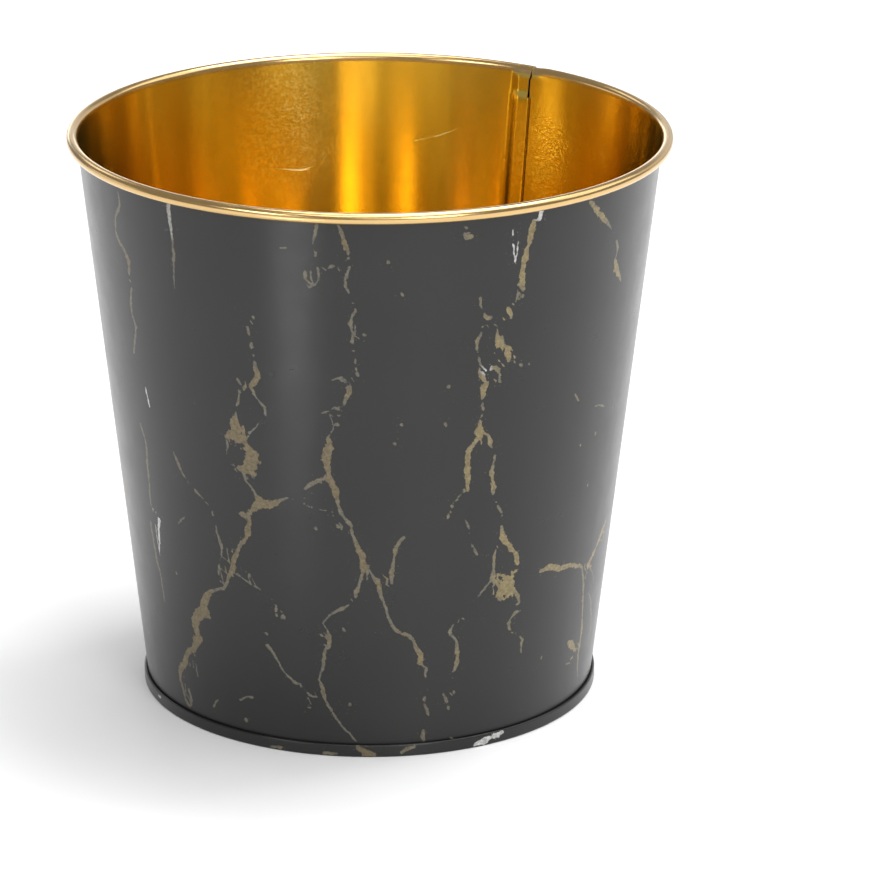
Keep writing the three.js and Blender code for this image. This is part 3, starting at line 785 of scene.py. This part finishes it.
def printed_finish():
    """Black print with tan veins under a satin varnish."""
    nodes = Nodes("printed_tinplate")
    place = nodes.place()
    mask, distance, half_width, tone = vein_mask(nodes)
    mottle = nodes.ramp(nodes.noise(place, 1.1, 3.0, 0.7), 0.35, 0.65)
    crumbs = nodes.ramp(nodes.noise(place, 1.7, 2.0, 0.6), 0.68, 0.71)
    near = nodes.ramp(distance, 0.6, 3.0, 0.8, 0.0)
    near = nodes.math("MULTIPLY", near, nodes.ramp(half_width, 0.1, 0.4))
    mask = nodes.math("MAXIMUM", mask, nodes.math("MULTIPLY", crumbs, near))
    toward_plus_x = nodes.ramp(nodes.split(place)[0], 0, 35)  # the tan veins are lighter and fuller towards +X
    # The darker tan is used towards -X and the lighter tan (full) towards +X; the X coordinate alone picks
    # between them.
    tan_toward_minus_x = nodes.mix(mottle, (0.09, 0.069, 0.035, 1), (0.16, 0.126, 0.068, 1))
    full = nodes.mix(mottle, (0.145, 0.11, 0.05, 1), (0.26, 0.208, 0.098, 1))
    thick = nodes.mix(toward_plus_x, tan_toward_minus_x, full)
    thin = nodes.mix(mottle, (0.065, 0.062, 0.052, 1), (0.13, 0.124, 0.10, 1))
    tan = nodes.mix(nodes.ramp(half_width, 0.25, 0.75), thin, thick)
    pale = nodes.mix(mottle, (0.3, 0.3, 0.29, 1), (0.6, 0.6, 0.58, 1))
    vein = nodes.mix(tone, tan, pale)
    cloud = nodes.noise(place, 0.03, 4.0, 0.6)
    black = nodes.mix(cloud, (0.006, 0.006, 0.0057, 1), (0.013, 0.0127, 0.012, 1))
    colour = nodes.mix(mask, black, vein)
    rough = nodes.ramp(nodes.noise(place, 0.12, 4.0, 0.6), 0.3, 0.7, 0.27, 0.33)
    rough = nodes.math("ADD", rough, nodes.math("MULTIPLY", mask, 0.05))
    peel = nodes.noise(place, 1.6, 2.0, 0.5)
    nodes.bump(nodes.math("ADD", peel, nodes.math("MULTIPLY", mask, 0.25)), 0.08, 0.05)
    nodes.grain_round_the_axis()
    return nodes.set(Base_Color=colour, Roughness=rough, Anisotropic=0.8, IOR=1.47)


def gold_finish():
    """Gold lacquer over bright tinplate: rolling lines, crazed patches, and scratches whose paler colour is
    partly a painted glint.
    """
    nodes = Nodes("gold_lacquer")
    place = nodes.place()
    around = nodes.noise(nodes.place((0.05, 0.05, 1.6)), 1.0, 4.0, 0.7)
    cloud = nodes.noise(place, 0.035, 3.0, 0.55)
    crazed = BARELY_CRAZED
    for middle in CRAZED_PATCHES:
        away = nodes.vector("LENGTH", nodes.vector("SUBTRACT", place, middle))
        patch = nodes.ramp(away, PATCH_CORE, PATCH_EDGE, 1, BARELY_CRAZED, soft=True)
        crazed = nodes.math("MAXIMUM", patch, crazed)
    grain = nodes.noise(place, 1.1, 3.0, 0.65)
    crackle = nodes.math("MULTIPLY", grain, crazed)
    flakes = nodes.math("MULTIPLY", nodes.ramp(grain, 0.47, 0.62), crazed)
    scratch = nodes.add("Attribute", attribute_name="scratch").outputs["Vector"]
    from_scratch = nodes.vector("LENGTH", nodes.vector("MULTIPLY", scratch, (1, 1, 0)))
    inside = nodes.math("SUBTRACT", nodes.split(scratch)[2], from_scratch)
    scratch_and_glint = nodes.ramp(inside, 0, 0.2, soft=True)
    worn = nodes.ramp(nodes.noise(place, 0.2), 0.4, 0.6, 0.25, 0.6)
    scratch_and_glint = nodes.math("MULTIPLY", scratch_and_glint, worn)
    gold = nodes.mix(cloud, (0.82, 0.57, 0.10, 1), (0.87, 0.61, 0.115, 1))
    gold = nodes.mix(nodes.math("MULTIPLY", flakes, 0.9), gold, (0.98, 0.8, 0.34, 1))
    # The scratches are real marks in the lacquer, but their paler colour also stands in for the light they
    # catch: a painted highlight.
    gold = nodes.mix(scratch_and_glint, gold, (0.97, 0.8, 0.45, 1))
    rough = nodes.ramp(nodes.noise(nodes.place((1, 1, 0.25)), 0.3, 4.0, 0.65), 0.3, 0.7, 0.12, 0.15)
    rough = nodes.math("ADD", rough, nodes.math("MULTIPLY", scratch_and_glint, 0.25))
    nodes.bump(nodes.math("ADD", nodes.math("MULTIPLY", around, 0.04), crackle), 0.4, 0.15)
    nodes.grain_round_the_axis()
    nodes.set(Anisotropic=0.8, Coat_Weight=0.6, Coat_Roughness=0.06)
    return nodes.set(Base_Color=gold, Metallic=1.0, Roughness=rough)


def rim_finish_with_painted_shade():
    """The same lacquer on the rolled rim, duller, with painted shade: its colour is darker and browner than
    the gold inside.
    """
    nodes = Nodes("gold_lacquer_rim_painted_shade")
    cloud = nodes.noise(nodes.place(), 0.12, 4.0, 0.6)
    rubbed = nodes.noise(nodes.place((0.25, 0.25, 2)), 0.8, 3.0, 0.6)
    # Painted shade: a darker, browner copy of the gold inside, used on the rim.
    gold = nodes.mix(cloud, (0.58, 0.38, 0.155, 1), (0.69, 0.47, 0.2, 1))
    rough = nodes.ramp(rubbed, 0.3, 0.7, 0.17, 0.24)
    nodes.bump(rubbed, 0.05, 0.05)
    nodes.set(Coat_Weight=0.3, Coat_Roughness=0.2)
    return nodes.set(Base_Color=gold, Metallic=1.0, Roughness=rough)


def cut_finish():
    """Bare steel where the sheet was sheared."""
    nodes = Nodes("cut_edge")
    grain = nodes.noise(nodes.place((1, 1, 4)), 2.0, 3.0, 0.6)
    steel = nodes.mix(grain, (0.30, 0.26, 0.20, 1), (0.46, 0.41, 0.33, 1))
    rough = nodes.ramp(grain, 0.3, 0.7, 0.32, 0.5)
    nodes.bump(grain, 0.2, 0.03)
    return nodes.set(Base_Color=steel, Metallic=1.0, Roughness=rough)


def sealant_finish():
    """Grey-buff lining compound, matt and slightly lumpy."""
    nodes = Nodes("sealing_compound")
    lumps = nodes.noise(nodes.place(), 1.2, 4.0, 0.6)
    colour = nodes.mix(lumps, (0.30, 0.27, 0.22, 1), (0.42, 0.38, 0.32, 1))
    rough = nodes.ramp(lumps, 0.3, 0.7, 0.65, 0.85)
    nodes.bump(lumps, 0.3, 0.05)
    return nodes.set(Base_Color=colour, Roughness=rough)


# ---------------------------------------------------------------- the bucket
# One finish for each slot, in the order of the slots
finishes = (gold_finish(), printed_finish(), cut_finish(), rim_finish_with_painted_shade())


def sheet_piece(name, node, made, strokes):
    """One piece of tinplate, which takes the place of a CAD node."""
    points, quads, places = made
    radii = [math.hypot(x, y) for x, y, _ in points]
    vein, ink = nearest_stroke(places, radii, strokes)
    from_scratch, scratch_size = nearest_stroke(places, radii, SCRATCHES)
    close = from_scratch[:, 2] < SCRATCH_REACH
    scratch = np.column_stack((from_scratch[:, :2], np.where(close, scratch_size[:, 0], 0)))
    piece = thicken(name, points, quads, {"vein": vein, "ink": ink, "scratch": scratch}, finishes)
    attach(piece, "root")
    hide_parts(node)


wall_strokes = FRONT_STROKES + strokes_from_specks(FRONT_SPECKS) + back_strokes()
sheet_piece("bucket_body", "body_sheet", body_points(), wall_strokes)
sheet_piece("bucket_base", "base_pan", pan_points(), CHIME_STROKES)
compound = sealant_finish()
for node in ("foot_sealant", "seam_sealant"):
    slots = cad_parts[node].data.materials
    slots.clear()
    slots.append(compound)


# ---------------------------------------------------------------- camera
def camera():
    """A long lens, in front of the bucket and looking down into it."""
    eye = Vector((0, -1309.5, 523.7)) * MM
    pan, tilt, roll = 0.0152, 0.3346, 0.006
    turn = Euler((math.pi / 2 - tilt, 0, -pan)).to_matrix() @ Matrix.Rotation(roll, 3, "Z")
    data = bpy.data.cameras.new("camera")
    data.lens = 203.66
    data.sensor_width = 36
    data.clip_end = 50
    seen = bpy.data.objects.new("camera", data)
    seen.matrix_world = Matrix.Translation(eye) @ turn.to_4x4()
    bpy.context.scene.collection.objects.link(seen)
    bpy.context.scene.camera = seen


# ---------------------------------------------------------------- studio, in metres
LIGHT_REACH = 3  # from the bucket to each softbox
AIM_HEIGHT = 0.1
AIR = 0.32  # strength of the even light from all round
FLOOR_REACH = 6
# name: bearing from the camera, positive to its right; elevation; width; height, all as
# seen from the bucket, in degrees; and brightness
SOFTBOXES = {
    "key_overhead": (120, 70, 60, 28, 8.5),
    "fill_overhead": (30, 70, 120, 28, 2.5),
    "back_overhead": (180, 70, 60, 28, 4.5),
    "front_right": (25, 24.5, 20, 26, 5),
    "front_middle": (5, 24.5, 20, 26, 1),
    "front_left": (-45, 31, 20, 14, 6.5),
    "front_left_low": (-35, 18, 20, 12, 1.5),
    "right": (105, 40, 50, 32, 1.5),
    "right_low": (130, 18, 30, 12, 0.5),
    "back_right": (170, 18, 50, 12, 0.5),
    "back_right_low": (150, 7, 50, 10, 0.5),
    "back_low": (-170, 7, 30, 10, 2),
    "back_left": (-145, 31, 20, 14, 1.5),
    "left_low": (-110, 7, 30, 10, 1),
}
POOL_BEARING = -28
POOL_REACH = 0.31  # from the axis to the middle of the lit patch of floor
POOL_POWER = 75
POOL_LAMP_HEIGHT = 0.5
POOL_LAMP_RADIUS = 0.03
POOL_SPREAD_DEG = 13


def floor():
    """Plain pale floor, nearly smooth in colour."""
    nodes = Nodes("studio_floor")
    grain = nodes.noise(nodes.place(), 0.02, 4.0, 0.6)
    pale = nodes.mix(grain, (0.86, 0.86, 0.87, 1), (0.9, 0.9, 0.9, 1))
    nodes.set(Base_Color=pale, Roughness=nodes.ramp(grain, 0.3, 0.7, 0.8, 0.9))
    mesh = bpy.data.meshes.new("studio_floor")
    corners = [(x * FLOOR_REACH, y * FLOOR_REACH, 0) for x, y in ((-1, -1), (1, -1), (1, 1), (-1, 1))]
    mesh.from_pydata(corners, [], [(0, 1, 2, 3)])
    mesh.materials.append(nodes.material)
    piece = bpy.data.objects.new("studio_floor", mesh)
    bpy.context.scene.collection.objects.link(piece)


def softbox(name, bearing, elevation, width, height, brightness):
    """A rectangular lamp that faces the bucket and isn't seen by the camera."""
    turn, lift = math.radians(bearing), math.radians(elevation)
    aim = Vector((0, 0, AIM_HEIGHT))
    reach = Vector((math.sin(turn) * math.cos(lift), -math.cos(turn) * math.cos(lift), math.sin(lift)))
    data = bpy.data.lights.new(name, "AREA")
    data.shape = "RECTANGLE"
    data.size = 2 * LIGHT_REACH * math.cos(lift) * math.tan(math.radians(width / 2))
    data.size_y = 2 * LIGHT_REACH * math.tan(math.radians(height / 2))
    data.energy = brightness * math.pi * data.size * data.size_y
    lamp = bpy.data.objects.new(name, data)
    lamp.location = aim + reach * LIGHT_REACH
    lamp.rotation_euler = (-reach).to_track_quat("-Z", "Y").to_euler()
    lamp.visible_camera = False
    bpy.context.scene.collection.objects.link(lamp)


def floor_pool():
    """A spot on the floor in front, which the print mirrors as a soft upright band."""
    data = bpy.data.lights.new("floor_pool", "SPOT")
    data.energy = POOL_POWER
    data.spot_size = math.radians(POOL_SPREAD_DEG)
    data.spot_blend = 1
    data.shadow_soft_size = POOL_LAMP_RADIUS
    lamp = bpy.data.objects.new("floor_pool", data)
    turn = math.radians(POOL_BEARING)
    lamp.location = (POOL_REACH * math.sin(turn), -POOL_REACH * math.cos(turn), POOL_LAMP_HEIGHT)
    bpy.context.scene.collection.objects.link(lamp)


def studio():
    """Even light from all round, the softboxes and the spot on the floor."""
    world = bpy.data.worlds.new("studio_air")
    world.use_nodes = True
    background = world.node_tree.nodes["Background"]
    background.inputs["Color"].default_value = (1, 1, 1, 1)
    background.inputs["Strength"].default_value = AIR
    bpy.context.scene.world = world
    bpy.context.scene.view_settings.view_transform = "Standard"
    for name, place in SOFTBOXES.items():
        softbox(name, *place)
    floor_pool()


camera()
floor()
studio()
